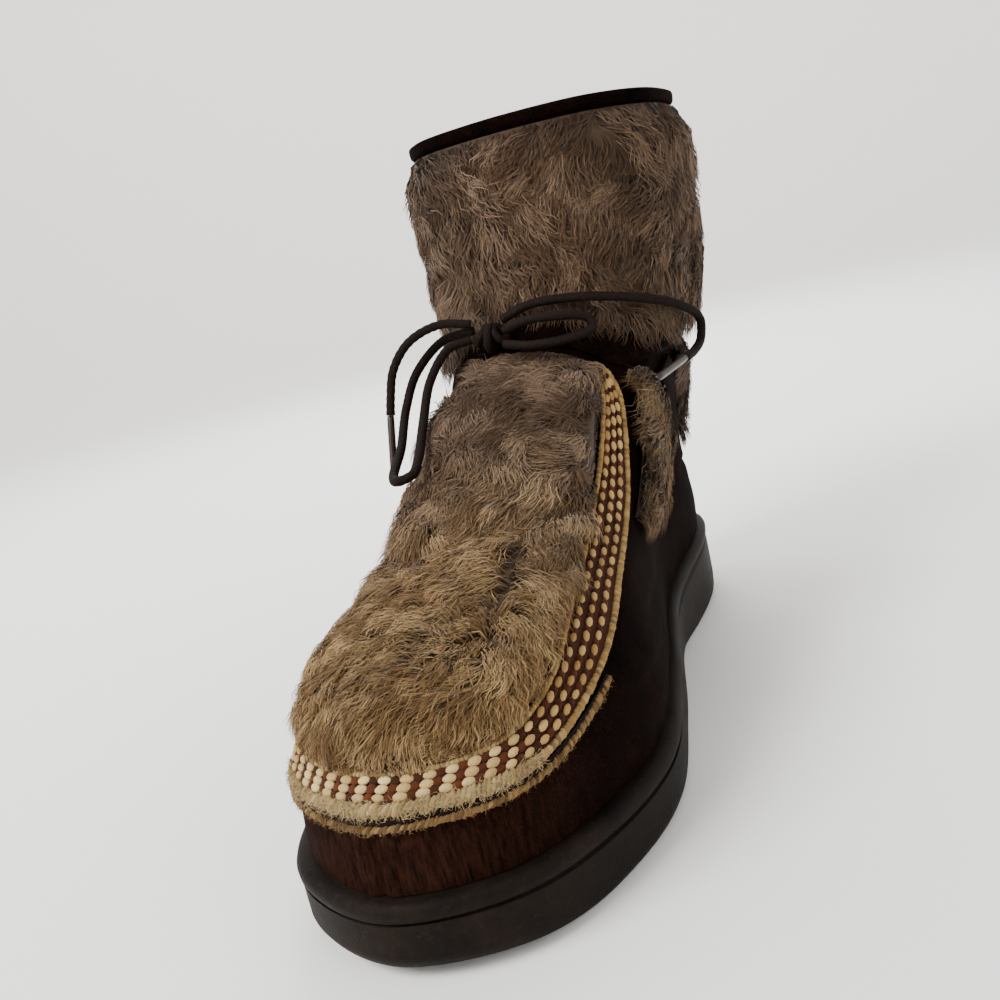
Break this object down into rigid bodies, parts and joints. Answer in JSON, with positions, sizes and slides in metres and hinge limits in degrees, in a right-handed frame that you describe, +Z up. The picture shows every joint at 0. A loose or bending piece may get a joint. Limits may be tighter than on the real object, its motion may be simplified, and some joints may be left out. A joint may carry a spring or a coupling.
{
  "type": "mukluk boot",
  "caption": "Ankle-high winter boot with a rubber wedge sole, suede foot, sheepskin vamp and shaft, woven braid trim and a lace tied at the ankle.",
  "frame": {"origin": "on the floor, under the middle of the heel", "axes": "+Z up, toe towards -Y, inner side of the foot towards +X"},
  "size_m": [0.1079, 0.2834, 0.198],
  "materials": {
    "rubber": "moulded, slightly worn",
    "lining": "napped pile",
    "suede": "brushed suede",
    "fleece": "sheepskin, deep pile",
    "braid": "woven braid",
    "tape": "woven tape",
    "lace": "braided round lace",
    "aglet": "clear film over the lace"
  },
  "bodies": {
    "root": {"outsole": "rubber", "insole": "lining", "upper": "suede", "vamp_fur": "fleece", "quarter_fur_inner": "fleece", "quarter_fur_outer": "fleece", "heel_fur": "fleece", "shaft_fur": "fleece", "vamp_braid": "braid", "edge_tape": "tape", "heel_strap_inner": "suede", "heel_strap_outer": "suede", "ankle_strap": "suede", "collar_binding": "suede", "lace_knot": "lace", "lace_loop_outer": "lace", "lace_loop_inner": "lace", "lace_end_outer": "lace", "lace_end_inner": "lace", "aglet_outer": "aglet", "aglet_inner": "aglet"}
  },
  "joints": []
}
